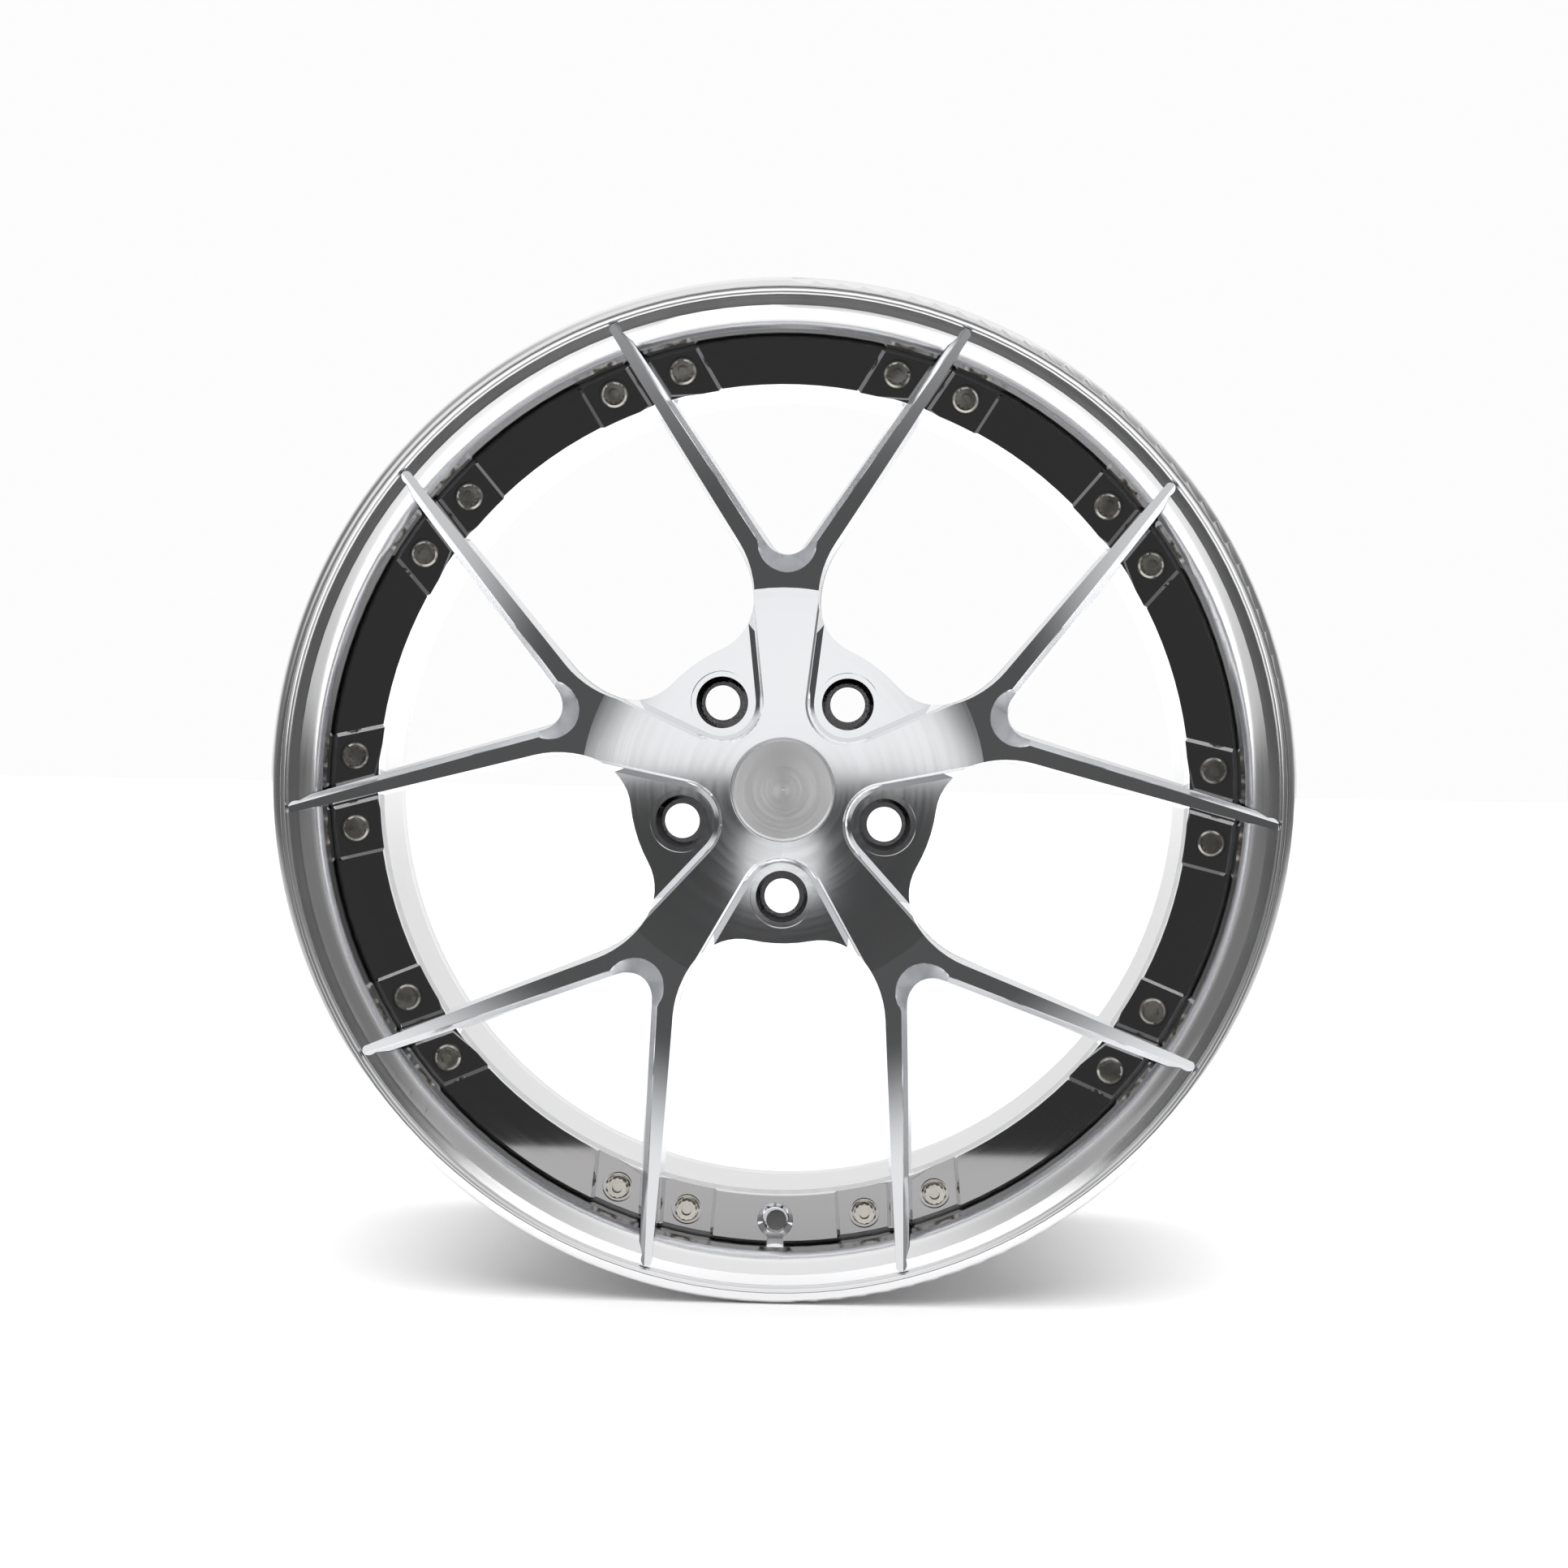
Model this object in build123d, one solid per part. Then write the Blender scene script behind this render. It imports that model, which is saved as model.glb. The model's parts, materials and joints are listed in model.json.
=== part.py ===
from build123d import *
import math
import os

# Forged racing wheel: bolted three-piece rim on a five Y-spoke forged centre.
# Frame: wheel axis is Y, the front of the wheel faces -Y, Z is up with one spoke pointing up.
# The origin is the centre of the hub mounting face. Depths are measured back from the front plane.

# ---- overall rim ----
RIM_WIDTH = 241.3          # between the two tyre-side flange faces (9.5 in)
FRONT_FLANGE = 14.0        # front edge to the tyre-side flange face
REAR_FLANGE = 12.5         # rear edge to the tyre-side flange face
OFFSET = 38.0              # mounting face ahead of the rim centreline
RIM_R = 276.0              # outside of the rim flanges
BEAD_R = 256.4             # bead seat (20 in rim)
HUB_DEPTH = FRONT_FLANGE + RIM_WIDTH / 2 - OFFSET
REAR_DEPTH = FRONT_FLANGE + RIM_WIDTH + REAR_FLANGE

# ---- stack of flanges at the assembly bolts ----
FLANGE_FRONT = 28.0
FLANGE_BACK = 40.0
LIP_FLANGE_BACK = 46.0
BARREL_FLANGE_BACK = 52.0
FLANGE_IN_R = 222.7
FLANGE_OUT_R = 247.6
REGISTER_R = 226.7
REGISTER_DEPTH = 44.0
PILOT_R = 227.0
BOLT_R = 236.8
BOLT_ANGLES = (-24.1, -14.4, 14.4, 24.1)
BOLT_HOLE_R = 3.7
BOLT_SHANK_R = 3.5
POCKET_FLOOR = 32.5
POCKET_DRAFT = 22.0
BOLT_SEAT = 34.0
COUNTERBORE_R = 8.7
WASHER_T = 1.6
NUT_T = 7.0
SEAL_WIRE_R = 1.2
SEAL_GROOVE = 2.5
SEAL_CORNER_R = 253.5       # outside of the rim halves where they meet

# ---- forged centre ----
SPOKES = 5
HUB_FACE = 38.0
BOWL_START_R = 115.0
BOWL_START_LEAN = 6.7       # slope of the dished face where it leaves the flat hub, in degrees
TIP_R = 266.3
TIP_DEPTH = 2.0
TIP_ROUND = 3.1             # plan radius at the end of each arm
TIP_TURN = 20.9             # azimuth of an arm's tip from its spoke axis
LUG_R = 60.0
LUG_HOLE_R = 9.8
LUG_CONE_R = 14.6
LUG_SEAT = 55.0
LUG_COUNTER_R = 17.6
LUG_FLOOR = 52.0
LUG_CONE_DEPTH = 8.3
LUG_WALL_BACK = 71.0        # end of the lug hole wall, where the wider relief starts
LUG_RELIEF_R = 12.5
LUG_POCKET_R = 22.6
LUG_BEVEL = 1.0
HUB_BORE_R = 36.3
HUB_BORE_TOP = 64.0
CAP_BORE_R = 27.0
CAP_SEAT_R = 29.3
CAP_SEAT_DEPTH = 41.5
LEVEL = 45.0               # depth at which the window outlines are drawn
WINDOW_DRAFT = 2.0
WINDOW_LEAN = 33.35         # lean of the arms' outer walls from the spoke axis, in degrees
VEE_DRAFT = 6.0
VEE_APEX = 120.0
VEE_LEAN = 33.65
VEE_CROTCH_R = 13.6
VEE_BEVEL = 2.9
ARM_POINT = (18.6, 134.0)   # point on the middle line of an arm
CROTCH_HEIGHT = 134.5       # centre of the conical scoop in the crotch, out from the wheel axis
CROTCH_MOUTH_R = 13.5       # its radius at the depth of the hub face
WINDOW_REACH = 175.0        # length of the straight window sides
STEM_HALF = 17.9
WAIST_HEIGHT = 106.3        # narrowest point of the stem, out from the wheel axis
ROOT_ARC_R = 31.2
SIDE_ARC_R = 55.0
VALVE_R = 236.4
VALVE_HOLE_R = 6.95
VALVE_SEAT_R = 5.75
VALVE_TILT = 0.2           # radial rise of the valve hole per unit of depth

# ---- centre cap ----
CAP_R = 28.9
CAP_FRONT = 36.4
CAP_BODY_R = 26.95


def at(depth):
    """Position along Y of a depth behind the front plane."""
    return depth - HUB_DEPTH


def polar(radius, degrees):
    """Point (x, z) at an azimuth measured clockwise from the upright spoke."""
    return (radius * math.sin(math.radians(degrees)), radius * math.cos(math.radians(degrees)))


def turned(*edges):
    """Solid of revolution about the wheel axis from edges drawn as (radius, y)."""
    return revolve(make_face(Wire(list(edges))), Axis.Y)


def turned_poly(points):
    """Solid of revolution from a closed outline of (radius, depth) points."""
    outline = [(r, at(d)) for r, d in points]
    return revolve(make_face(Polyline(*outline, close=True)), Axis.Y)


def disc(radius, front, back):
    """Solid cylinder on the wheel axis between two depths."""
    return turned_poly([(0, front), (radius, front), (radius, back), (0, back)])


def prism(outline, level, front, back, draft):
    """Drafted prism of an outline that is true to size at one depth and narrows towards the back."""
    slope = math.tan(math.radians(draft))
    front_face = Plane.XZ.offset(-at(front)) * outline((level - front) * slope)
    back_face = Plane.XZ.offset(-at(back)) * outline((level - back) * slope)
    return loft([front_face.face(), back_face.face()], ruled=True)


def grown_polygon(points, grow):
    """Face of a convex polygon with every side moved outwards by the same amount."""
    count = len(points)
    turning = sum(
        points[i][0] * points[(i + 1) % count][1] - points[(i + 1) % count][0] * points[i][1]
        for i in range(count)
    )
    sign = 1.0 if turning > 0 else -1.0
    sides = []
    for i in range(count):
        (ax, az), (bx, bz) = points[i], points[(i + 1) % count]
        length = math.hypot(bx - ax, bz - az)
        normal = (sign * (bz - az) / length, -sign * (bx - ax) / length)
        sides.append((normal, normal[0] * ax + normal[1] * az + grow))
    corners = []
    for i in range(count):
        (n1, c1), (n2, c2) = sides[i - 1], sides[i]
        cross = n1[0] * n2[1] - n1[1] * n2[0]
        corners.append(((c1 * n2[1] - c2 * n1[1]) / cross, (n1[0] * c2 - n2[0] * c1) / cross))
    return make_face(Polyline(*corners, close=True))


def around(solid, degrees):
    """Turn a solid about the wheel axis, clockwise as seen from the front."""
    return solid.rotate(Axis.Y, degrees)


def five(solid, start=0.0):
    """Five copies of a solid, one per spoke."""
    return [around(solid, start + 72.0 * k) for k in range(SPOKES)]


def rod(x, z, radius, front, back):
    """Cylinder parallel to the wheel axis between two depths."""
    face = Plane.XZ.offset(-at(front)) * Pos(x, z) * Circle(radius)
    return extrude(face, amount=-(back - front))


def cone(x, z, front_r, back_r, front, back):
    """Cone parallel to the wheel axis, from the front radius to the back radius."""
    start = Plane.XZ.offset(-at(front)) * Pos(x, z) * Circle(front_r)
    end = Plane.XZ.offset(-at(back)) * Pos(x, z) * Circle(back_r)
    return loft([start.face(), end.face()])


def bolt_spots():
    """The (x, z) centre of every assembly bolt around the wheel."""
    return [polar(BOLT_R, 72.0 * k + a) for k in range(SPOKES) for a in BOLT_ANGLES]


def valve_tool(radius):
    """Tilted valve-hole cutter through the flanges and the front wall of the barrel."""
    origin = (0, at(FLANGE_FRONT), -VALVE_R)
    direction = (0, 1, -VALVE_TILT)
    plane = Plane(origin=origin, x_dir=(1, 0, 0), z_dir=direction)
    return extrude(plane * Circle(radius), amount=75, both=True)


# ---------------------------------------------------------------- rim halves

def lip():
    """Front half of the rim with its inward bolting flange."""
    y = at
    seal_r = SEAL_CORNER_R
    edges = [
        ThreePointArc((RIM_R, y(5.4)), (RIM_R - 1.5, y(1.6)), (RIM_R - 5.2, y(0.0))),
        ThreePointArc((RIM_R - 5.2, y(0.0)), (RIM_R - 7.1, y(0.3)), (267.9, y(1.2))),
        Line((267.9, y(1.2)), (267.6, y(5.0))),
        ThreePointArc((267.6, y(5.0)), (267.4, y(5.43)), (267.0, y(5.6))),
        Line((267.0, y(5.6)), (261.4, y(5.65))),
        ThreePointArc((261.4, y(5.65)), (255.19, y(10.09)), (250.94, y(16.42))),
        Line((250.94, y(16.42)), (249.6, y(21.0))),
        Line((249.6, y(21.0)), (249.3, y(28.0))),
        Line((249.3, y(28.0)), (249.0, y(FLANGE_BACK))),
        Line((249.0, y(FLANGE_BACK)), (PILOT_R, y(FLANGE_BACK))),
        Line((PILOT_R, y(FLANGE_BACK)), (PILOT_R, y(LIP_FLANGE_BACK))),
        Line((PILOT_R, y(LIP_FLANGE_BACK)), (seal_r - SEAL_GROOVE, y(LIP_FLANGE_BACK))),
        Line((seal_r - SEAL_GROOVE, y(LIP_FLANGE_BACK)), (seal_r, y(LIP_FLANGE_BACK - SEAL_GROOVE))),
        Line((seal_r, y(LIP_FLANGE_BACK - SEAL_GROOVE)), (254.2, y(38.5))),
        ThreePointArc((254.2, y(38.5)), (256.0, y(36.2)), (254.7, y(33.5))),
        Line((254.7, y(33.5)), (BEAD_R, y(FRONT_FLANGE + 6.5))),
        ThreePointArc((BEAD_R, y(20.5)), (258.3, y(15.9)), (262.9, y(FRONT_FLANGE))),
        Line((262.9, y(FRONT_FLANGE)), (RIM_R - 5.0, y(FRONT_FLANGE))),
        ThreePointArc((RIM_R - 5.0, y(FRONT_FLANGE)), (RIM_R - 1.46, y(12.54)), (RIM_R, y(9.0))),
        Line((RIM_R, y(9.0)), (RIM_R, y(5.4))),
    ]
    body = turned(*edges)
    holes = [rod(x, z, BOLT_HOLE_R, FLANGE_FRONT, BARREL_FLANGE_BACK) for x, z in bolt_spots()]
    return body - holes - valve_tool(VALVE_HOLE_R)


def barrel():
    """Rear half of the rim: bolting flange, drop centre and rear bead seat."""
    y = at
    seal_r = SEAL_CORNER_R
    rear_in = REAR_DEPTH - REAR_FLANGE
    rear_r = RIM_R - 4.0
    edges = [
        Line((PILOT_R, y(LIP_FLANGE_BACK)), (seal_r - SEAL_GROOVE, y(LIP_FLANGE_BACK))),
        Line((seal_r - SEAL_GROOVE, y(LIP_FLANGE_BACK)), (seal_r, y(LIP_FLANGE_BACK + SEAL_GROOVE))),
        Line((seal_r, y(LIP_FLANGE_BACK + SEAL_GROOVE)), (252.4, y(60.0))),
        ThreePointArc((252.4, y(60.0)), (250.6, y(64.4)), (247.8, y(68.0))),
        Line((247.8, y(68.0)), (241.2, y(79.0))),
        ThreePointArc((241.2, y(79.0)), (239.2, y(82.2)), (238.0, y(87.0))),
        Line((238.0, y(87.0)), (238.0, y(150.0))),
        Line((238.0, y(150.0)), (244.0, y(168.0))),
        Line((244.0, y(168.0)), (250.5, y(222.0))),
        Line((250.5, y(222.0)), (254.2, y(229.0))),
        ThreePointArc((254.2, y(229.0)), (256.2, y(231.6)), (254.9, y(234.5))),
        Line((254.9, y(234.5)), (BEAD_R, y(rear_in - 6.5))),
        ThreePointArc((BEAD_R, y(rear_in - 6.5)), (258.3, y(rear_in - 1.9)), (262.9, y(rear_in))),
        Line((262.9, y(rear_in)), (RIM_R - 4.4, y(rear_in))),
        ThreePointArc((RIM_R - 4.4, y(rear_in)), (RIM_R - 1.3, y(rear_in + 1.3)), (RIM_R, y(rear_in + 4.4))),
        Line((RIM_R, y(rear_in + 4.4)), (RIM_R, y(REAR_DEPTH - 4.0))),
        ThreePointArc((RIM_R, y(REAR_DEPTH - 4.0)), (RIM_R - 1.2, y(REAR_DEPTH - 1.2)), (rear_r, y(REAR_DEPTH))),
        ThreePointArc((rear_r, y(REAR_DEPTH)), (rear_r - 2.8, y(REAR_DEPTH - 1.2)), (rear_r - 4.0, y(REAR_DEPTH - 4.0))),
        Line((rear_r - 4.0, y(REAR_DEPTH - 4.0)), (252.0, y(REAR_DEPTH - 8.5))),
        Line((252.0, y(REAR_DEPTH - 8.5)), (250.0, y(232.0))),
        Line((250.0, y(232.0)), (246.0, y(222.0))),
        Line((246.0, y(222.0)), (239.4, y(168.0))),
        Line((239.4, y(168.0)), (233.4, y(150.0))),
        Line((233.4, y(150.0)), (233.4, y(85.0))),
        ThreePointArc((233.4, y(85.0)), (234.4, y(80.6)), (236.6, y(77.2))),
        Line((236.6, y(77.2)), (244.4, y(65.0))),
        ThreePointArc((244.4, y(65.0)), (246.2, y(62.4)), (247.0, y(59.4))),
        Line((247.0, y(59.4)), (247.0, y(BARREL_FLANGE_BACK))),
        Line((247.0, y(BARREL_FLANGE_BACK)), (PILOT_R, y(BARREL_FLANGE_BACK))),
        Line((PILOT_R, y(BARREL_FLANGE_BACK)), (PILOT_R, y(LIP_FLANGE_BACK))),
    ]
    body = turned(*edges)
    holes = [rod(x, z, BOLT_HOLE_R, FLANGE_BACK, 58.0) for x, z in bolt_spots()]
    flange_hole = valve_tool(VALVE_HOLE_R) & disc(RIM_R, FLANGE_BACK, BARREL_FLANGE_BACK + 6.0)
    return body - holes - flange_hole - valve_tool(VALVE_SEAT_R)


def seal():
    """O-ring in the outside corner between the two rim halves."""
    centre_r = SEAL_CORNER_R - SEAL_GROOVE + SEAL_WIRE_R * math.sqrt(2) + 0.02
    wire = Pos(centre_r, at(LIP_FLANGE_BACK)) * Circle(SEAL_WIRE_R)
    return revolve(wire, Axis.Y)


# ------------------------------------------------------------- forged centre

def face_depth(radius):
    """Depth of the dished front face at a distance from the wheel axis."""
    span = TIP_R - BOWL_START_R
    start_lean = math.radians(BOWL_START_LEAN)
    end_lean = 2 * math.atan((HUB_FACE - TIP_DEPTH) / span) - start_lean
    bowl_r = span / (math.sin(end_lean) - math.sin(start_lean))
    reach = max(radius - BOWL_START_R, 0.0)
    lean = math.asin(math.sin(start_lean) + reach / bowl_r)
    return HUB_FACE - bowl_r * (math.cos(start_lean) - math.cos(lean))


def blank():
    """Turned blank of the centre: dished face, hub, back slope, flange and spoke tips."""
    middle_r = BOWL_START_R + 0.55 * (TIP_R - BOWL_START_R)
    points = [
        (BOWL_START_R, HUB_FACE), (CAP_SEAT_R, HUB_FACE), (CAP_SEAT_R, CAP_SEAT_DEPTH),
        (CAP_BORE_R, CAP_SEAT_DEPTH), (CAP_BORE_R, HUB_BORE_TOP - 2.0), (HUB_BORE_R, HUB_BORE_TOP),
        (HUB_BORE_R, HUB_DEPTH), (78.0, HUB_DEPTH),
        (80.0, HUB_DEPTH - 2.0), (90.0, 89.5), (120.0, 79.0), (FLANGE_IN_R, REGISTER_DEPTH),
        (REGISTER_R - 0.6, REGISTER_DEPTH), (REGISTER_R, REGISTER_DEPTH - 0.6),
        (REGISTER_R, FLANGE_BACK), (FLANGE_OUT_R, FLANGE_BACK), (FLANGE_OUT_R, 19.0),
        (250.2, 15.6), (254.4, 9.6), (260.9, 5.3), (TIP_R, 4.7), (TIP_R, TIP_DEPTH),
    ]
    edges = [Line((a, at(b)), (c, at(d))) for (a, b), (c, d) in zip(points, points[1:])]
    start = (TIP_R, at(TIP_DEPTH))
    middle = (middle_r, at(face_depth(middle_r)))
    edges.append(ThreePointArc(start, middle, (BOWL_START_R, at(HUB_FACE))))
    return turned(*edges)


def mirror_point(point, azimuth):
    """Mirror an (x, z) point about the radial line at an azimuth."""
    radius = math.hypot(*point)
    own = math.degrees(math.atan2(point[0], point[1]))
    return polar(radius, 2 * azimuth - own)


def on_circle(centre, radius, degrees):
    """Point on a circle, the angle measured up from the side facing the spoke."""
    turn = math.radians(degrees)
    return (centre[0] - radius * math.cos(turn), centre[1] + radius * math.sin(turn))


def main_window(grow):
    """Outline of the large window between two neighbouring Y spokes."""
    root_centre = (STEM_HALF + ROOT_ARC_R, WAIST_HEIGHT)
    arc_centre = (STEM_HALF + SIDE_ARC_R, WAIST_HEIGHT)
    reach = math.hypot(*root_centre)
    pad_r = reach - ROOT_ARC_R - grow
    root_r = ROOT_ARC_R + grow
    arc_r = SIDE_ARC_R + grow
    start = (root_centre[0] * pad_r / reach, root_centre[1] * pad_r / reach)
    drop = math.degrees(math.asin((root_centre[1] - start[1]) / root_r))
    root_mid = on_circle(root_centre, root_r, -drop / 2)
    side = on_circle(root_centre, root_r, 0)
    arc_mid = on_circle(arc_centre, arc_r, WINDOW_LEAN / 2)
    arm = on_circle(arc_centre, arc_r, WINDOW_LEAN)
    turn = math.radians(WINDOW_LEAN)
    far = (arm[0] + WINDOW_REACH * math.sin(turn), arm[1] + WINDOW_REACH * math.cos(turn))
    points = [start, root_mid, side, arc_mid, arm, far]
    twin = [mirror_point(p, 36.0) for p in points]
    edges = [
        ThreePointArc(start, root_mid, side),
        ThreePointArc(side, arc_mid, arm),
        Line(arm, far),
        Line(far, twin[5]),
        Line(twin[5], twin[4]),
        ThreePointArc(twin[4], twin[3], twin[2]),
        ThreePointArc(twin[2], twin[1], twin[0]),
        ThreePointArc(twin[0], polar(pad_r, 36.0), start),
    ]
    return make_face(Wire(edges))


def vee(grow):
    """Outline of the window inside the fork of a Y spoke, opening upwards."""
    turn = math.radians(VEE_LEAN)
    centre = VEE_APEX + VEE_CROTCH_R / math.sin(turn)
    radius = VEE_CROTCH_R + grow
    touch = (radius * math.cos(turn), centre - radius * math.sin(turn))
    far = (touch[0] + WINDOW_REACH * math.sin(turn), touch[1] + WINDOW_REACH * math.cos(turn))
    edges = [
        ThreePointArc((-touch[0], touch[1]), (0, centre - radius), touch),
        Line(touch, far),
        Line(far, (-far[0], far[1])),
        Line((-far[0], far[1]), (-touch[0], touch[1])),
    ]
    return make_face(Wire(edges))


def line_through(point, lean, start, end):
    """Two (x, z) points on a line leaning from the spoke axis, at two distances."""
    turn = math.radians(lean)
    a = (point[0] + start * math.sin(turn), point[1] + start * math.cos(turn))
    b = (point[0] + end * math.sin(turn), point[1] + end * math.cos(turn))
    return a, b


def bolt_pockets():
    """Sloped-wall recesses in the flange around each bolt of one spoke."""
    arm_low, arm_high = line_through((75.9, 229.8), VEE_LEAN, -18.0, 32.0)
    wall_low, wall_high = line_through((43.2, 230.1), 30.6, -16.0, 28.0)
    outlines = [[arm_low, arm_high, wall_high, wall_low]]
    arm_low, arm_high = line_through((84.1, 223.4), WINDOW_LEAN, -16.0, 30.0)
    wall_low, wall_high = line_through((109.2, 206.7), 31.6, -18.0, 28.0)
    outlines.append([arm_low, arm_high, wall_high, wall_low])
    tools = []
    for points in outlines:
        def outline(grow, points=points):
            return grown_polygon(points, grow)
        tool = prism(outline, FLANGE_FRONT, FLANGE_FRONT, POCKET_FLOOR, POCKET_DRAFT)
        tools += [tool, mirror(tool, Plane.YZ)]
    return tools


def lug_outline(grow):
    """Outline of the recess in the hub face around the lug hole at azimuth 36 degrees."""
    centre = polar(LUG_R, 36.0)
    far = (20.0, 114.0)
    gap = math.hypot(centre[0] - far[0], centre[1] - far[1])
    bearing = math.atan2(centre[0] - far[0], far[1] - centre[1])
    lean = bearing - math.asin(LUG_POCKET_R / gap)
    radius = LUG_POCKET_R + grow
    touch = (centre[0] - radius * math.cos(lean), centre[1] - radius * math.sin(lean))
    far = (far[0] - grow * math.cos(lean), far[1] - grow * math.sin(lean))
    twin_far = mirror_point(far, 36.0)
    twin_touch = mirror_point(touch, 36.0)
    edges = [
        Line(far, touch),
        ThreePointArc(touch, polar(LUG_R - radius, 36.0), twin_touch),
        Line(twin_touch, twin_far),
        Line(twin_far, far),
    ]
    return make_face(Wire(edges))


def lug_pocket():
    """Cutters for one lug: recess, counterbore, conical seat and hole."""
    x, z = polar(LUG_R, 36.0)
    pocket = prism(lug_outline, HUB_FACE, HUB_FACE - 1.5, LUG_FLOOR, 14.4)
    edge_break = prism(lug_outline, HUB_FACE + LUG_BEVEL, HUB_FACE - 1.0, HUB_FACE + LUG_BEVEL, 50.0)
    counterbore = rod(x, z, LUG_COUNTER_R, LUG_FLOOR - 2.0, LUG_SEAT)
    seat = cone(x, z, LUG_CONE_R, LUG_HOLE_R, LUG_SEAT - 0.01, LUG_SEAT + LUG_CONE_DEPTH)
    hole = rod(x, z, LUG_HOLE_R, LUG_SEAT, HUB_DEPTH + 1.0)
    relief = rod(x, z, LUG_RELIEF_R, LUG_WALL_BACK, HUB_DEPTH + 1.0)
    return [pocket, edge_break, counterbore, seat, hole, relief]


def valve_notch():
    """Keyhole notch in the flange for the tyre valve, opposite the upright spoke."""
    hole = rod(0, -VALVE_R, VALVE_HOLE_R, FLANGE_FRONT - 1.0, REGISTER_DEPTH + 1.0)
    rim = cone(0, -VALVE_R, VALVE_HOLE_R + 2.85, VALVE_HOLE_R, FLANGE_FRONT - 0.01, FLANGE_FRONT + 2.4)
    neck = Box(9.0, 20.0, 14.0)
    neck = Pos(0, at(FLANGE_FRONT) + 9.0, -VALVE_R - 9.5) * neck
    return [hole, rim, neck]


def back_pocket():
    """Lightening pocket in the mounting pad behind one spoke."""
    face = Plane.XZ.offset(-at(HUB_DEPTH + 1.0)) * Pos(0, 58.5) * SlotCenterToCenter(9.0, 15.0, rotation=90)
    return extrude(face, amount=14.0)


def fork_edges(body):
    """Edges where the dished face meets the fork windows."""
    picked = []
    for edge in body.edges():
        point = edge @ 0.5
        radius = math.hypot(point.X, point.Z)
        azimuth = math.degrees(math.atan2(point.X, point.Z))
        x, z = polar(radius, abs((azimuth + 36.0) % 72.0 - 36.0))
        arm_x = ARM_POINT[0] + (z - ARM_POINT[1]) * math.tan(math.radians(VEE_LEAN))
        on_face = abs(point.Y - at(face_depth(min(radius, TIP_R)))) < 0.05
        if on_face and BOWL_START_R < radius < TIP_R - 1.0 and x < arm_x:
            picked.append(edge)
    return picked


def crotch_scoop():
    """45 degree conical scoop that opens the crotch of the upright fork towards the front."""
    depth = HUB_FACE + CROTCH_MOUTH_R
    return cone(0, CROTCH_HEIGHT, CROTCH_MOUTH_R + 12.0, 1.0, HUB_FACE - 12.0, depth - 1.0)


def tip_trims():
    """Cutters that round the two arm tips of the upright spoke, seen from the front."""
    x, z = polar(TIP_R - TIP_ROUND, TIP_TURN)
    corner = rod(x, z, 9.0, -5.0, 15.0) - rod(x, z, TIP_ROUND, -6.0, 16.0)
    corner = corner - disc(TIP_R - TIP_ROUND, -6.0, 16.0)
    return [corner, mirror(corner, Plane.YZ)]


def centre():
    """Forged centre: hub, five Y spokes and the bolting flange in one piece."""
    clear = turned_poly([
        (0, -20.0), (RIM_R, -20.0), (RIM_R, FLANGE_FRONT),
        (FLANGE_IN_R, FLANGE_FRONT), (FLANGE_IN_R, 110.0), (0, 110.0),
    ])
    window = prism(main_window, LEVEL, -12.0, HUB_DEPTH + 4.0, WINDOW_DRAFT) & clear
    fork = prism(vee, LEVEL, -12.0, HUB_DEPTH + 4.0, VEE_DRAFT) & clear
    body = blank() - five(window) - five(fork)
    body = chamfer(fork_edges(body), VEE_BEVEL)
    for tool in [crotch_scoop()] + tip_trims() + bolt_pockets() + lug_pocket():
        body = body - five(tool)
    body = body - five(back_pocket()) - valve_notch()
    seats = [rod(x, z, COUNTERBORE_R, FLANGE_FRONT, BOLT_SEAT) for x, z in bolt_spots()]
    holes = [rod(x, z, BOLT_HOLE_R, FLANGE_FRONT, REGISTER_DEPTH + 1.0) for x, z in bolt_spots()]
    return body - seats - holes


# ---------------------------------------------------------------- fasteners

def assembly_bolt():
    """Flanged twelve-point bolt standing on its seat, drawn on the wheel axis."""
    flange = rod(0, 0, 7.35, BOLT_SEAT - 1.6, BOLT_SEAT)
    crown = cone(0, 0, 5.9, 7.0, BOLT_SEAT - 2.4, BOLT_SEAT - 1.6)
    points = RegularPolygon(5.5, 6) + RegularPolygon(5.5, 6, rotation=30)
    placed = Plane.XZ.offset(-at(BOLT_SEAT - 2.4)) * points
    head = extrude(placed, amount=4.6)
    recess = rod(0, 0, 2.9, BOLT_SEAT - 8.0, BOLT_SEAT - 4.6)
    shank = rod(0, 0, BOLT_SHANK_R, BOLT_SEAT - 1.0, BARREL_FLANGE_BACK + WASHER_T + NUT_T + 1.0)
    return flange + crown + head + shank - recess


def washer():
    """Plain washer under a nut, drawn on the wheel axis."""
    front = BARREL_FLANGE_BACK
    return rod(0, 0, 7.0, front, front + WASHER_T) - rod(0, 0, BOLT_HOLE_R, front - 1, front + 3)


def nut():
    """Hexagon nut with a turned flange, drawn on the wheel axis."""
    front = BARREL_FLANGE_BACK + WASHER_T
    placed = Plane.XZ.offset(-at(front)) * RegularPolygon(5.6, 6, major_radius=False)
    body = extrude(placed, amount=-NUT_T)
    corner_cut = front + NUT_T - 1.2
    body = body & (cone(0, 0, 7.6, 5.5, corner_cut, front + NUT_T) + rod(0, 0, 7.6, front, corner_cut))
    body = body + rod(0, 0, 6.7, front, front + 1.5)
    return body - rod(0, 0, BOLT_SHANK_R + 0.02, front - 1, front + NUT_T + 1)


def bolt_group(piece, spoke):
    """Four separate copies of a fastener at the bolts of one spoke."""
    spots = [polar(BOLT_R, 72.0 * spoke + angle) for angle in BOLT_ANGLES]
    return Compound(children=[Pos(x, 0, z) * piece for x, z in spots])


# --------------------------------------------------------------- centre cap

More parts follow.
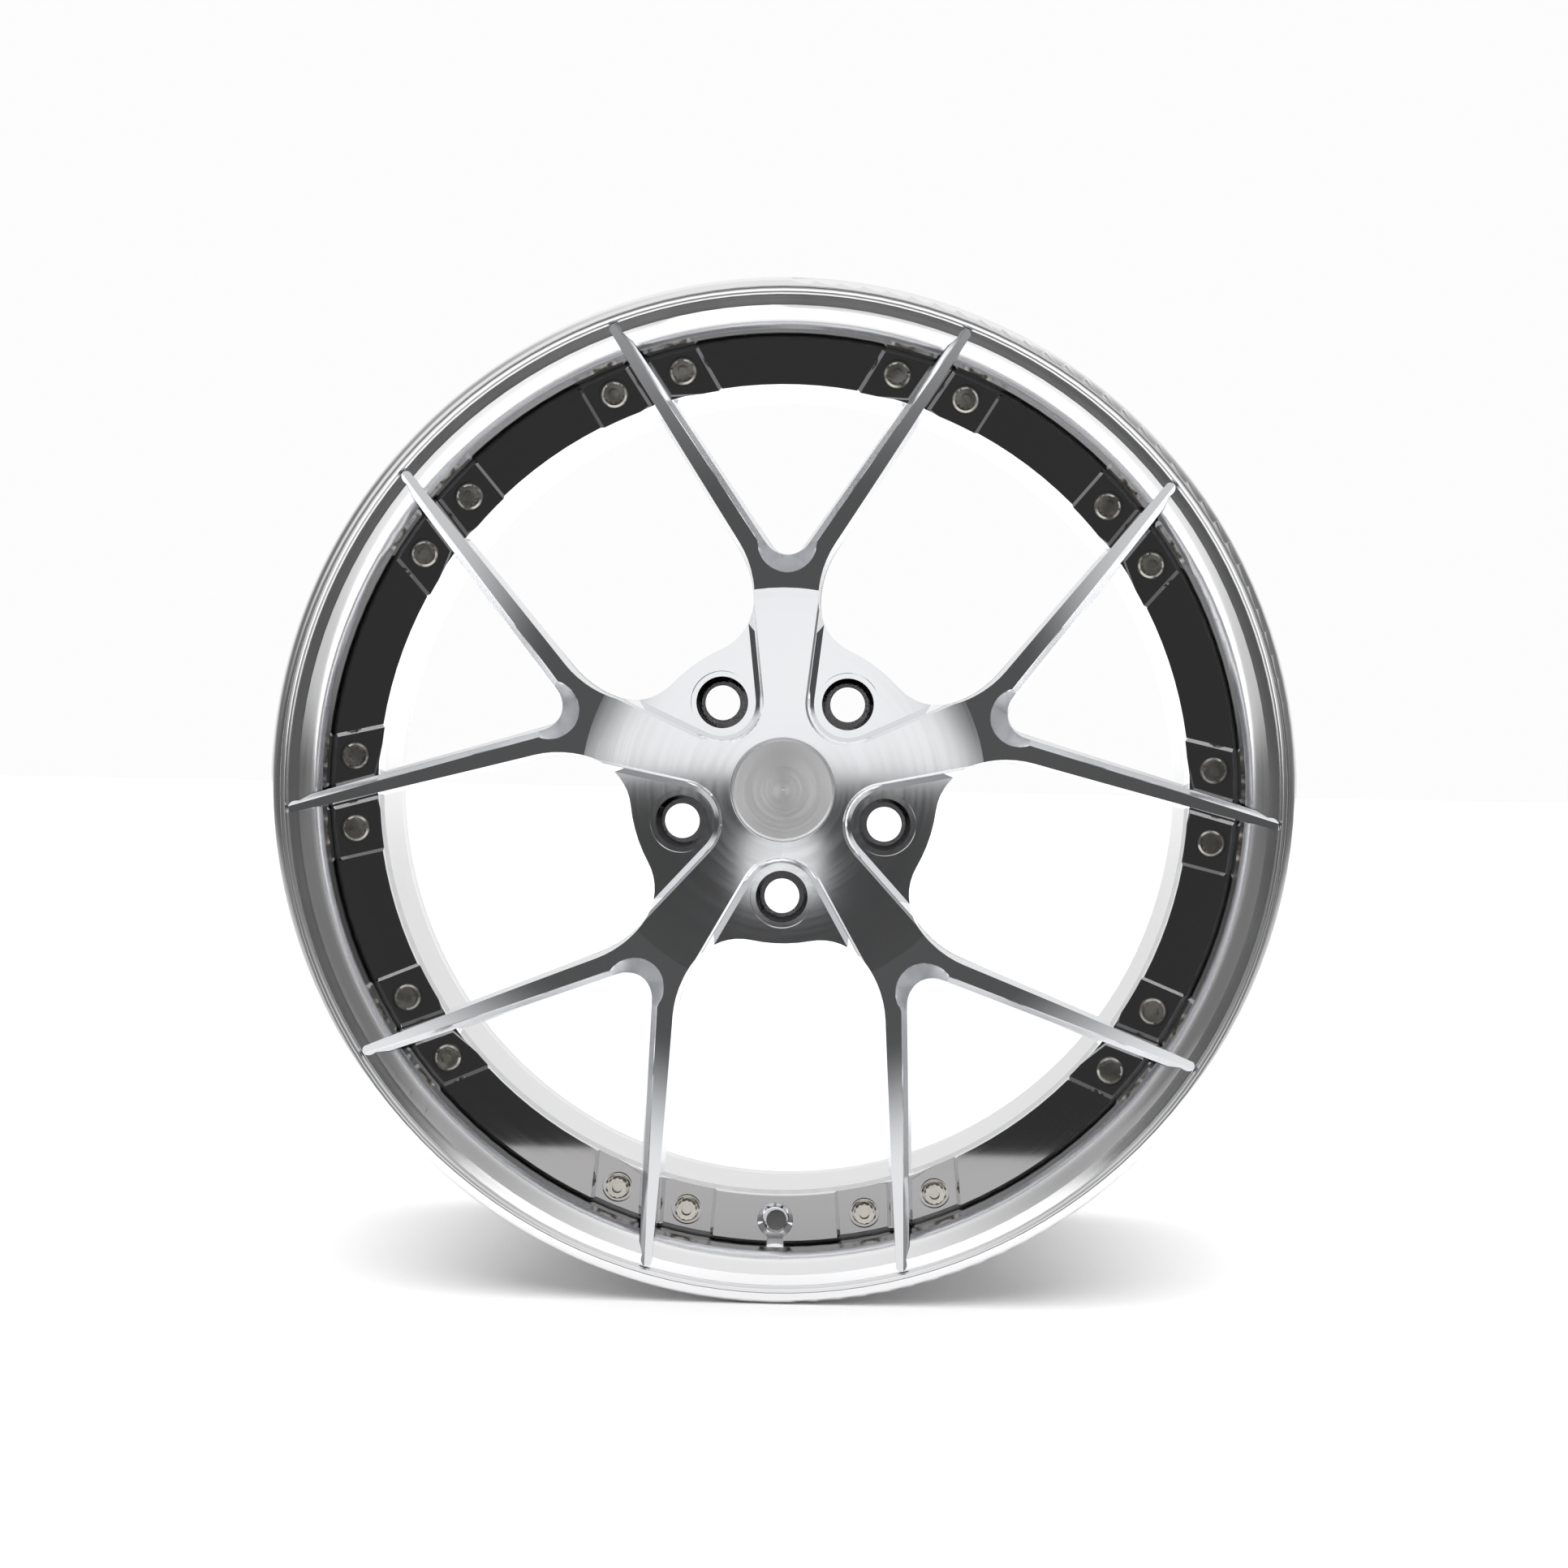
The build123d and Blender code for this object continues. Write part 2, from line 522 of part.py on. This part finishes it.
def cap_face():
    """Turned cap disc, slightly domed, with a bevelled rim and a stub for the body."""
    y = at
    edges = [
        Line((0.0, y(CAP_FRONT + 0.35)), (0.55, y(CAP_FRONT))),
        ThreePointArc((0.55, y(CAP_FRONT)), (14.0, y(CAP_FRONT + 0.25)), (27.0, y(CAP_FRONT + 1.0))),
        Line((27.0, y(CAP_FRONT + 1.0)), (CAP_R, y(CAP_FRONT + 2.4))),
        Line((CAP_R, y(CAP_FRONT + 2.4)), (CAP_R, y(CAP_SEAT_DEPTH - 0.4))),
        Line((CAP_R, y(CAP_SEAT_DEPTH - 0.4)), (25.0, y(CAP_SEAT_DEPTH - 0.4))),
        Line((25.0, y(CAP_SEAT_DEPTH - 0.4)), (25.0, y(CAP_SEAT_DEPTH + 1.5))),
        Line((25.0, y(CAP_SEAT_DEPTH + 1.5)), (0.0, y(CAP_SEAT_DEPTH + 1.5))),
        Line((0.0, y(CAP_SEAT_DEPTH + 1.5)), (0.0, y(CAP_FRONT + 0.35))),
    ]
    return turned(*edges)


def cap_body():
    """Plastic carrier of the cap: ring, O-ring groove and six clip fingers."""
    top = CAP_SEAT_DEPTH + 0.1
    ring = [
        (25.05, top), (CAP_BODY_R, top), (CAP_BODY_R, top + 1.4), (25.9, top + 1.4), (25.9, top + 3.6),
        (CAP_BODY_R, top + 3.6), (CAP_BODY_R, top + 13.0), (26.2, top + 14.0), (24.4, top + 14.0),
        (24.4, top + 12.4), (23.8, top + 11.6), (24.4, top + 10.8), (24.4, top + 3.6), (22.0, top + 3.6),
        (22.0, top + 1.6), (25.05, top + 1.6),
    ]
    body = turned_poly(ring)
    slot = Pos(0, at(top + 10.0), 26.0) * Box(4.0, 9.0, 8.0)
    return body - [around(slot, 60.0 * k) for k in range(6)]


def cap_spring():
    """Split wire ring that presses the clip fingers outwards."""
    ring = Pos(23.25, at(CAP_SEAT_DEPTH + 9.4)) * Circle(0.9)
    whole = revolve(ring, Axis.Y)
    return whole - Pos(0, at(CAP_SEAT_DEPTH + 9.4), -23.25) * Box(5.0, 3.0, 4.0)


def cap_o_ring():
    """Rubber ring in the groove of the carrier."""
    wire = Pos(26.42, at(CAP_SEAT_DEPTH + 2.6)) * Rectangle(0.98, 2.0)
    return revolve(wire, Axis.Y)


os.makedirs("parts", exist_ok=True)
export_step(lip(), "parts/outer_lip.step")
export_step(barrel(), "parts/inner_barrel.step")
export_step(seal(), "parts/barrel_seal.step")
export_step(centre(), "parts/wheel_centre.step")
bolt = assembly_bolt()
plain_washer = washer()
hex_nut = nut()
for spoke in range(SPOKES):
    export_step(bolt_group(bolt, spoke), f"parts/assembly_bolts_spoke_{spoke + 1}.step")
    export_step(bolt_group(plain_washer, spoke), f"parts/nut_washers_spoke_{spoke + 1}.step")
    export_step(bolt_group(hex_nut, spoke), f"parts/assembly_nuts_spoke_{spoke + 1}.step")
export_step(cap_face(), "parts/cap_face.step")
export_step(cap_body(), "parts/cap_body.step")
export_step(cap_spring(), "parts/cap_spring_ring.step")
export_step(cap_o_ring(), "parts/cap_o_ring.step")
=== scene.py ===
import json
import math

import bpy
import numpy as np
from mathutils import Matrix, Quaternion, Vector

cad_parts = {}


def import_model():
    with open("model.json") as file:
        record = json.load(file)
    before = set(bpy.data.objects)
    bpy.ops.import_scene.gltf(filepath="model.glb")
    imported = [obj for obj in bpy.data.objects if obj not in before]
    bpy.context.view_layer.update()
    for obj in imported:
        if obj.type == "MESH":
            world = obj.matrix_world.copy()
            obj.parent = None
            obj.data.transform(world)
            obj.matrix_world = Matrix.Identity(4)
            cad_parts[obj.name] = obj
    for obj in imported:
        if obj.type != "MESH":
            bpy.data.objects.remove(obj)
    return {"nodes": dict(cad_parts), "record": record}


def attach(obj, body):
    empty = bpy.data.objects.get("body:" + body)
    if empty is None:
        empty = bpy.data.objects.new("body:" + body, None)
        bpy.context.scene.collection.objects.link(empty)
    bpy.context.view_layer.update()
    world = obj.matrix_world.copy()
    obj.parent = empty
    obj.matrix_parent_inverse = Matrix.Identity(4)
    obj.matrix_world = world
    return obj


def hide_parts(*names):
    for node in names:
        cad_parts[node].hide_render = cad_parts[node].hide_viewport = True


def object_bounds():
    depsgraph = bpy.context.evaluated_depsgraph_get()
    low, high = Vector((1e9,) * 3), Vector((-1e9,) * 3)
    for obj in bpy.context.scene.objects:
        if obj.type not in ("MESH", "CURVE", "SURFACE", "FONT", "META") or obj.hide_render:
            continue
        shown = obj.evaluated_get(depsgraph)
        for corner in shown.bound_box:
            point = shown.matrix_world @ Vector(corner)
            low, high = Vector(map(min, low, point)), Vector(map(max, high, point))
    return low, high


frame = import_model()
cad_low, cad_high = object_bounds()

# ------------------------------------------------------------------ sizes, in metres
# Depths are counted backwards from the rim's front edge, which is FRONT_EDGE in front of the origin.
FRONT_EDGE = 0.09665
HUB_FACE_DEPTH = 0.038

# The centre's front face is flat out to BOWL_START_R; there it creases by BOWL_LEAN and rises in an arc.
BOWL_START_R = 0.115
BOWL_LEAN = math.radians(6.7)
BOWL_REACH = 0.1513
BOWL_RISE = 0.036
BOWL_END_LEAN = 2 * math.atan(BOWL_RISE / BOWL_REACH) - BOWL_LEAN
BOWL_ARC_R = BOWL_REACH / (math.sin(BOWL_END_LEAN) - math.sin(BOWL_LEAN))

# A corner counts as on the front face when it is within ON_FACE of it.
ON_FACE = 0.0002
SAME_RADIUS = 0.00001

# The centre's bolting flange: its inner radius, and its levels by place along the wheel axis, which also
# bound the painted shade on it.
FLANGE_INNER_R = 0.2222
FLANGE_TOP = -0.06880
FLANGE_TOP_END = -0.06855
POCKET_FLOOR = -0.06430
BACK_FACE = -0.032

# Bands of the rough side walls of the arms, by distance from the wheel axis.
ARMS_FROM = 0.100
ARMS_TO = 0.219

# Facets within SMOOTH_ANGLE of each other are shaded as one smooth surface. A facet counts as turned
# when its normal's part round the axis takes less than TURNED_SWIRL off its length, and as part of the
# front face when its normal's part along the true one is above SAME_FACE.
SMOOTH_ANGLE = math.radians(16.0)
TURNED_SWIRL = 0.004
SAME_FACE = 0.985

# The floor starts just in front of what the camera sees of it.
FLOOR_Z = cad_low.z
FLOOR_FRONT = -0.51
FLOOR_BACK = 40
FLOOR_HALF_WIDTH = 30

# The camera stands a little to the right of the wheel axis and above it, tilted by ROLL.
EYE = Vector((0.0196, -1.24665, 0.0083))
TARGET = Vector((0.0011, -FRONT_EDGE, 0.0035))
ROLL = math.radians(1.0)
LENS = 49.28

# Shift of the studio's middle, so that it lies where the flat hub mirrors the camera.
MIDDLE_X = -0.0165
MIDDLE_Z = -0.007


# ------------------------------------------------------------------ node helpers

class Graph:
    """Small helper that adds nodes to a tree and links them."""

    def __init__(self, tree):
        self.tree = tree
        tree.nodes.clear()

    def add(self, kind, **values):
        """Add a shader node and set its properties."""
        node = self.tree.nodes.new("ShaderNode" + kind)
        for key, value in values.items():
            setattr(node, key, value)
        return node

    def link(self, source, target):
        self.tree.links.new(source, target)

    def math(self, operation, a, b=None, clamp=False):
        """Math node whose inputs are numbers or sockets."""
        node = self.add("Math", operation=operation, use_clamp=clamp)
        for slot, value in enumerate((a, b)):
            if value is None:
                continue
            if isinstance(value, (int, float)):
                node.inputs[slot].default_value = value
            else:
                self.link(value, node.inputs[slot])
        return node.outputs[0]

    def ramp(self, source, low, high, out_low, out_high):
        """Smooth step from out_low to out_high as the source goes from low to high."""
        node = self.add("MapRange", interpolation_type="SMOOTHSTEP")
        node.inputs["From Min"].default_value = low
        node.inputs["From Max"].default_value = high
        node.inputs["To Min"].default_value = out_low
        node.inputs["To Max"].default_value = out_high
        self.link(source, node.inputs["Value"])
        return node.outputs["Result"]


def hypotenuse(graph, a, b):
    """Length of the vector (a, b)."""
    squares = graph.math("ADD", graph.math("MULTIPLY", a, a), graph.math("MULTIPLY", b, b))
    return graph.math("SQRT", squares)


def wheel_coords(graph):
    """Distance from the wheel axis, the angle round it, the place along it and the whole position."""
    coords = graph.add("TexCoord")
    split = graph.add("SeparateXYZ")
    graph.link(coords.outputs["Object"], split.inputs[0])
    x, y, z = split.outputs
    radius = hypotenuse(graph, x, z)
    angle = graph.math("ARCTAN2", x, z)
    return radius, angle, y, coords.outputs["Object"]


def noise(graph, place, scale, detail=3.0, rough=0.55):
    """Procedural noise at a position."""
    node = graph.add("TexNoise")
    node.inputs["Scale"].default_value = scale
    node.inputs["Detail"].default_value = detail
    node.inputs["Roughness"].default_value = rough
    graph.link(place, node.inputs["Vector"])
    return node.outputs[0]


def vector(graph, x, y, z):
    """Vector from three numbers or sockets."""
    node = graph.add("CombineXYZ")
    for socket, value in zip(node.inputs, (x, y, z)):
        if isinstance(value, (int, float)):
            socket.default_value = value
        else:
            graph.link(value, socket)
    return node.outputs[0]


def off_face(g, radius, depth):
    """0 on the centre's turned front face, hub and flange, 1 on the sides and bevels of its arms."""
    reach = g.math("MAXIMUM", g.math("SUBTRACT", radius, BOWL_START_R), 0.0)
    sine = g.math("ADD", g.math("DIVIDE", reach, BOWL_ARC_R), math.sin(BOWL_LEAN))
    cosine = g.math("SQRT", g.math("SUBTRACT", 1.0, g.math("MULTIPLY", sine, sine)))
    drop = g.math("MULTIPLY", g.math("SUBTRACT", math.cos(BOWL_LEAN), cosine), BOWL_ARC_R)
    gap = g.math("ADD", g.math("ADD", depth, drop), FRONT_EDGE - HUB_FACE_DEPTH)
    along_arm = g.math("MULTIPLY", g.ramp(radius, ARMS_FROM, ARMS_FROM + 0.010, 0.0, 1.0),
                       g.ramp(radius, ARMS_TO, ARMS_TO + 0.003, 1.0, 0.0))
    return g.math("MULTIPLY", g.ramp(g.math("ABSOLUTE", gap), 0.0003, 0.0005, 0.0, 1.0), along_arm)


def flange_shade_mask(g, radius, depth):
    """Mask of painted shade: 1 on the flat top, the pockets and the back of the bolting flange, 0 elsewhere.
    """
    flat_top = g.math("MULTIPLY", g.ramp(depth, FLANGE_TOP, FLANGE_TOP + 0.00005, 0.0, 1.0),
                      g.ramp(depth, FLANGE_TOP_END, FLANGE_TOP_END + 0.00005, 1.0, 0.0))
    pocket = g.ramp(depth, POCKET_FLOOR, POCKET_FLOOR + 0.0001, 0.0, 1.0)
    outside = g.ramp(radius, FLANGE_INNER_R, FLANGE_INNER_R + 0.001, 0.0, 1.0)
    ring = g.math("MULTIPLY", outside, g.math("MAXIMUM", flat_top, pocket))
    return g.math("MAXIMUM", ring, g.ramp(depth, BACK_FACE, BACK_FACE + 0.006, 0.0, 1.0))


def new_shader(name):
    """New material with one principled shader, as (material, graph, shader)."""
    material = bpy.data.materials.new(name)
    material.use_nodes = True
    g = Graph(material.node_tree)
    out = g.add("OutputMaterial")
    shader = g.add("BsdfPrincipled")
    g.link(shader.outputs[0], out.inputs["Surface"])
    return material, g, shader


def blend_tone(g, amount, first, second):
    """Colour that goes from the first to the second as the amount goes from 0 to 1."""
    tone = g.add("Mix", data_type="RGBA")
    tone.inputs[6].default_value = (*first, 1)
    tone.inputs[7].default_value = (*second, 1)
    g.link(amount, tone.inputs[0])
    return tone.outputs[2]


def relief(g, shader, height, strength, distance):
    """Fine relief from a height."""
    bump = g.add("Bump")
    bump.inputs["Strength"].default_value = strength
    bump.inputs["Distance"].default_value = distance
    g.link(height, bump.inputs["Height"])
    g.link(bump.outputs[0], shader.inputs["Normal"])


def metal(name, color, rough, spread, aniso, ring_bump, ring_scale=320.0, tint=0.05, flange=None, sides=0.0):
    """Turned metal: fine rings round the wheel axis in roughness, tone and relief.

    flange is the darker colour painted on the centre's bolting flange, its pockets and its back, painted
    shade standing in for the flange's dark reflection and the shade in these recesses; sides the extra
    roughness of its arms' side walls.
    """
    material, g, shader = new_shader(name)
    radius, angle, depth, place = wheel_coords(g)
    rings = noise(g, vector(g, g.math("MULTIPLY", radius, ring_scale), g.math("MULTIPLY", angle, 0.3),
                            g.math("MULTIPLY", depth, ring_scale)), 1.0, 2.0)
    cloud = noise(g, place, 22.0, 3.0)
    shader.inputs["Metallic"].default_value = 1.0
    rough_value = g.math("ADD", g.ramp(rings, 0.3, 0.7, rough - spread / 2, rough + spread / 2),
                         g.ramp(cloud, 0.3, 0.7, -spread / 4, spread / 4), clamp=True)
    if sides:
        rough_value = g.math("ADD", rough_value, g.math("MULTIPLY", off_face(g, radius, depth), sides))
    g.link(rough_value, shader.inputs["Roughness"])
    dark = tuple(c * (1 - tint) for c in color)
    weight = g.math("ADD", g.math("MULTIPLY", rings, 0.6), g.math("MULTIPLY", cloud, 0.4))
    tone = blend_tone(g, weight, dark, color)
    # Painted shade: the tone is multiplied darker on the bolting flange, its pockets and the back, for their
    # dark reflection and recess shade.
    if flange:
        shade = g.add("Mix", data_type="RGBA", blend_type="MULTIPLY")
        shade.inputs[7].default_value = (*flange, 1)
        g.link(flange_shade_mask(g, radius, depth), shade.inputs[0])
        g.link(tone, shade.inputs[6])
        tone = shade.outputs[2]
    g.link(tone, shader.inputs["Base Color"])
    shader.inputs["Anisotropic"].default_value = aniso
    tangent = g.add("Tangent", direction_type="RADIAL", axis="Y")
    g.link(tangent.outputs[0], shader.inputs["Tangent"])
    relief(g, shader, rings, 0.25, ring_bump)
    return material


def plain(name, color, rough, metallic=0.0, grain=400.0, grain_height=0.00004):
    """Cast, moulded or plated surface with a fine grain."""
    material, g, shader = new_shader(name)
    place = wheel_coords(g)[3]
    speck = noise(g, place, grain, 4.0)
    cloud = noise(g, place, grain / 12, 2.0)
    shader.inputs["Metallic"].default_value = metallic
    g.link(g.ramp(cloud, 0.3, 0.7, rough - 0.06, rough + 0.06), shader.inputs["Roughness"])
    dark = tuple(c * 0.8 for c in color)
    weight = g.math("ADD", g.math("MULTIPLY", speck, 0.4), g.math("MULTIPLY", cloud, 0.6))
    g.link(blend_tone(g, weight, dark, color), shader.inputs["Base Color"])
    relief(g, shader, speck, 0.3, grain_height)
    return material


MATERIALS = {
    "lip_aluminium": metal("lip_polished_turned", (0.90, 0.90, 0.91), 0.15, spread=0.05, aniso=0.3,
                           ring_bump=0.000002),
    "barrel_aluminium": metal("barrel_satin_turned", (0.82, 0.82, 0.83), 0.34, spread=0.08, aniso=0.4,
                              ring_bump=0.000006, ring_scale=400.0),
    "seal_rubber": plain("seal_black_rubber", (0.03, 0.03, 0.03), 0.7),
    # The flange colour is painted shade: it darkens the bolting flange, its pockets and the back for their
    # dark reflection and recess shade.
    "forged_aluminium": metal("centre_fine_turned", (0.87, 0.88, 0.90), 0.06, spread=0.015, aniso=0.1,
                              ring_bump=0.0000006, tint=0.03, flange=(0.36, 0.35, 0.345), sides=0.20),
    "bolt_steel": plain("bolt_plated_steel", (0.50, 0.48, 0.44), 0.18, 1.0, 900.0, 0.00001),
    "washer_steel": plain("washer_plated_steel", (0.60, 0.60, 0.58), 0.34, 1.0, 900.0, 0.00002),
    "nut_steel": plain("nut_plated_steel", (0.56, 0.55, 0.52), 0.32, 1.0, 900.0, 0.00002),
    "cap_aluminium": metal("cap_fine_turned", (0.80, 0.80, 0.81), 0.50, spread=0.10, aniso=0.4,
                           ring_bump=0.000006, ring_scale=600.0),
    "cap_plastic": plain("cap_moulded_black", (0.05, 0.05, 0.05), 0.55),
    "spring_steel": plain("spring_drawn_wire", (0.60, 0.60, 0.60), 0.28, 1.0, 900.0, 0.00001),
    "ring_rubber": plain("ring_black_rubber", (0.03, 0.03, 0.03), 0.75),
}


# ------------------------------------------------------------------ pieces and their shading normals

SLOTS = {row["node"]: row["material_slot"] for row in frame["record"]["subparts"]}
BODIES = {n: b for b, names in frame["record"]["behaviour"]["bodies"].items() for n in names}
TURNED = ("outer_lip", "inner_barrel", "barrel_seal", "cap_face")
DISHED = "wheel_centre"


def sharp_copy(node):
    """Copy of a CAD node's mesh with smooth shading split at its edges."""
    mesh = frame["nodes"][node].data.copy()
    mesh.shade_smooth()
    piece = bpy.data.objects.new(node + "_finish", mesh)
    bpy.context.scene.collection.objects.link(piece)
    mesh.set_sharp_from_angle(angle=SMOOTH_ANGLE)
    return piece


def face_values(mesh, name):
    """A vector property of every face, repeated for each of the face's corners."""
    values = np.empty(len(mesh.polygons) * 3)
    mesh.polygons.foreach_get(name, values)
    return values.reshape(-1, 3)[corner_faces(mesh)]


def corner_faces(mesh):
    """Index of the face that each corner belongs to."""
    return np.repeat(np.arange(len(mesh.polygons)), [p.loop_total for p in mesh.polygons])


def corner_places(mesh):
    """Position of the vertex under each corner."""
    place = np.empty(len(mesh.vertices) * 3)
    mesh.vertices.foreach_get("co", place)
    vertex = np.empty(len(mesh.loops), int)
    mesh.loops.foreach_get("vertex_index", vertex)
    return place.reshape(-1, 3)[vertex]


def corner_normals(mesh):
    """Present shading normal of each corner."""
    normal = np.empty(len(mesh.loops) * 3)
    mesh.corner_normals.foreach_get("vector", normal)
    return normal.reshape(-1, 3)


def round_axis(point, direction):
    """Outward direction and radius at each point, and each direction's parts out from and along the axis."""
    radius = np.maximum(np.hypot(point[:, 0], point[:, 2]), 1e-9)
    out = np.stack([point[:, 0] / radius, np.zeros(len(radius)), point[:, 2] / radius], 1)
    return out, radius, (direction * out).sum(1), direction[:, 1]


def meridian(out, outward, along):
    """Vectors from their parts out from and along the wheel axis."""
    result = out * outward[:, None]
    result[:, 1] = along
    return result


def turned_normals(mesh):
    """Shading normals without any swirl round the wheel axis on the faces that were turned about it."""
    _, _, flat_out, flat_along = round_axis(face_values(mesh, "center"), face_values(mesh, "normal"))
    normal = corner_normals(mesh)
    out, _, outward, along = round_axis(corner_places(mesh), normal)
    length = np.maximum(np.hypot(outward, along), 1e-9)
    turned = np.abs(np.hypot(flat_out, flat_along) - 1.0) < TURNED_SWIRL
    result = normal.copy()
    result[turned] = meridian(out, outward / length, along / length)[turned]
    return result


def bowl_lean(radius):
    """Lean of the dished face's normal towards the wheel axis."""
    reach = np.clip(radius - BOWL_START_R, 0, None)
    return np.arcsin(np.clip(math.sin(BOWL_LEAN) + reach / BOWL_ARC_R, 0, 1))


def dished_normals(mesh):
    """Shading normals that follow the flat hub and the exact arc of the dished front face."""
    _, mid_radius, flat_out, flat_along = round_axis(face_values(mesh, "center"), face_values(mesh, "normal"))
    place = corner_places(mesh)
    result = corner_normals(mesh)
    out, radius, _, _ = round_axis(place, result)
    hub = flat_out > -math.sin(BOWL_LEAN / 2)
    mid_lean = np.where(hub, 0.0, bowl_lean(mid_radius))
    agrees = (flat_out * -np.sin(mid_lean) + flat_along * -np.cos(mid_lean)) > SAME_FACE
    lean = bowl_lean(radius)
    surface = HUB_FACE_DEPTH - BOWL_ARC_R * (math.cos(BOWL_LEAN) - np.cos(lean))
    surface = np.where(radius < BOWL_START_R + SAME_RADIUS, HUB_FACE_DEPTH, surface)
    on_face = (np.abs(place[:, 1] + FRONT_EDGE - surface) < ON_FACE) & agrees
    faces = corner_faces(mesh)
    whole = np.bincount(faces, on_face) == np.bincount(faces)
    chosen = whole[faces]
    lean = np.where(hub, 0.0, lean)
    result[chosen] = meridian(out, -np.sin(lean), -np.cos(lean))[chosen]
    return result


def finish_node(node):
    """Stand a finished copy in for a CAD node, on the same body."""
    piece = sharp_copy(node)
    if node in TURNED:
        piece.data.normals_split_custom_set([tuple(v) for v in turned_normals(piece.data)])
    if node == DISHED:
        piece.data.normals_split_custom_set([tuple(v) for v in dished_normals(piece.data)])
    piece.data.materials.clear()
    piece.data.materials.append(MATERIALS[SLOTS[node]])
    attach(piece, BODIES[node])
    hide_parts(node)


for node in list(frame["nodes"]):
    finish_node(node)


# ------------------------------------------------------------------ stage, light and camera

def floor():
    """Plain white floor at the foot of the wheel."""
    left, right = -FLOOR_HALF_WIDTH, FLOOR_HALF_WIDTH
    corners = [(left, FLOOR_FRONT, FLOOR_Z), (right, FLOOR_FRONT, FLOOR_Z),
               (right, FLOOR_BACK, FLOOR_Z), (left, FLOOR_BACK, FLOOR_Z)]
    mesh = bpy.data.meshes.new("floor")
    mesh.from_pydata(corners, [], [(0, 1, 2, 3)])
    obj = bpy.data.objects.new("floor", mesh)
    bpy.context.scene.collection.objects.link(obj)
    material = bpy.data.materials.new("floor_white")
    material.use_nodes = True
    shader = material.node_tree.nodes["Principled BSDF"]
    shader.inputs["Base Color"].default_value = (0.80, 0.80, 0.80, 1)
    shader.inputs["Roughness"].default_value = 0.6
    mesh.materials.append(material)


def surroundings(g, x, y, z):
    """Brightness of the studio by direction: white above and behind, a dark room at eye level in front."""
    side = g.math("ABSOLUTE", x)
    reach = hypotenuse(g, x, z)

    def window(lower, upper):
        """1 between two bands of height, 0 outside them."""
        return g.math("MULTIPLY", g.ramp(z, *lower, 0.0, 1.0), g.ramp(z, *upper, 1.0, 0.0))

    low_side = g.math("MULTIPLY", g.ramp(side, 0.40, 0.70, 0.0, 0.88), g.ramp(z, 0.50, 0.90, 1.0, 0.0))
    slant = g.math("DIVIDE", side, g.math("MAXIMUM", z, 0.05))
    high_side = g.math("MULTIPLY", g.ramp(slant, 0.20, 0.80, 0.0, 0.62), g.ramp(reach, 0.62, 0.72, 0.0, 1.0))
    beside = g.math("SUBTRACT", 1.0, g.math("MAXIMUM", low_side, high_side))
    tilted = g.math("ADD", z, g.math("MULTIPLY", side, 0.35))

    dark_room = g.ramp(reach, 0.03, 0.15, 0.050, 0.09)
    ceiling = g.math("MULTIPLY", g.ramp(tilted, 0.225, 0.375, 0.0, 0.80), beside)
    near_floor = g.ramp(z, -0.22, -0.50, 0.0, 0.30)
    far_floor = g.ramp(z, -0.50, -0.80, 0.0, 0.40)
    low_walls = g.math("MULTIPLY", g.ramp(side, 0.18, 0.31, 0.0, 0.55), g.ramp(z, -0.03, -0.17, 0.0, 1.0))
    rear_wall = g.ramp(y, -0.35, 0.60, 0.0, 0.72)
    panel_edge = g.math("ADD", side, g.math("MULTIPLY", z, 0.6))
    panel = g.math("MULTIPLY", g.ramp(panel_edge, 0.085, 0.110, 1.0, 0.0),
                   window((0.002, 0.010), (0.100, 0.115)))
    strip = g.math("MULTIPLY", g.ramp(side, 0.012, 0.022, 1.2, 0.0),
                   window((-0.018, -0.024), (-0.045, -0.055)))
    total = dark_room
    for part in (ceiling, near_floor, far_floor, low_walls, rear_wall, panel, strip):
        total = g.math("ADD", total, part)
    return g.math("MINIMUM", total, 1.0)


def world():
    """Studio surroundings seen in the metal, with a plain white background for the camera."""
    studio = bpy.data.worlds.new("studio")
    bpy.context.scene.world = studio
    studio.use_nodes = True
    g = Graph(studio.node_tree)
    out = g.add("OutputWorld")
    coords = g.add("TexCoord")
    split = g.add("SeparateXYZ")
    g.link(coords.outputs["Generated"], split.inputs[0])
    x = g.math("SUBTRACT", split.outputs[0], MIDDLE_X)
    z = g.math("SUBTRACT", split.outputs[2], MIDDLE_Z)
    light = g.add("Background")
    light.inputs["Color"].default_value = (1.0, 1.0, 1.0, 1)
    g.link(surroundings(g, x, split.outputs[1], z), light.inputs["Strength"])
    seen = g.add("Background")
    seen.inputs["Strength"].default_value = 1.0
    seen.inputs["Color"].default_value = (0.98, 0.98, 0.98, 1)
    path = g.add("LightPath")
    mix = g.add("MixShader")
    g.link(path.outputs["Is Camera Ray"], mix.inputs[0])
    g.link(light.outputs[0], mix.inputs[1])
    g.link(seen.outputs[0], mix.inputs[2])
    g.link(mix.outputs[0], out.inputs[0])


def lights():
    """Broad soft light from overhead, kept out of the mirror reflections."""
    sun = bpy.data.lights.new("overhead", "SUN")
    sun.energy = 3.4
    sun.angle = math.radians(70)
    obj = bpy.data.objects.new("overhead", sun)
    obj.rotation_euler = (math.radians(12), 0, 0)
    obj.visible_glossy = False
    bpy.context.scene.collection.objects.link(obj)


def camera():
    """Camera almost straight in front of the wheel."""
    data = bpy.data.cameras.new("photo_camera")
    obj = bpy.data.objects.new("photo_camera", data)
    bpy.context.scene.collection.objects.link(obj)
    data.lens = LENS
    data.sensor_width = 36.0
    data.clip_end = 200.0
    roll = Quaternion((0.0, 0.0, 1.0), ROLL)
    obj.location = EYE
    obj.rotation_euler = ((TARGET - EYE).to_track_quat("-Z", "Y") @ roll).to_euler()
    bpy.context.scene.camera = obj


floor()
world()
lights()
camera()
bpy.context.scene.view_settings.view_transform = "Standard"
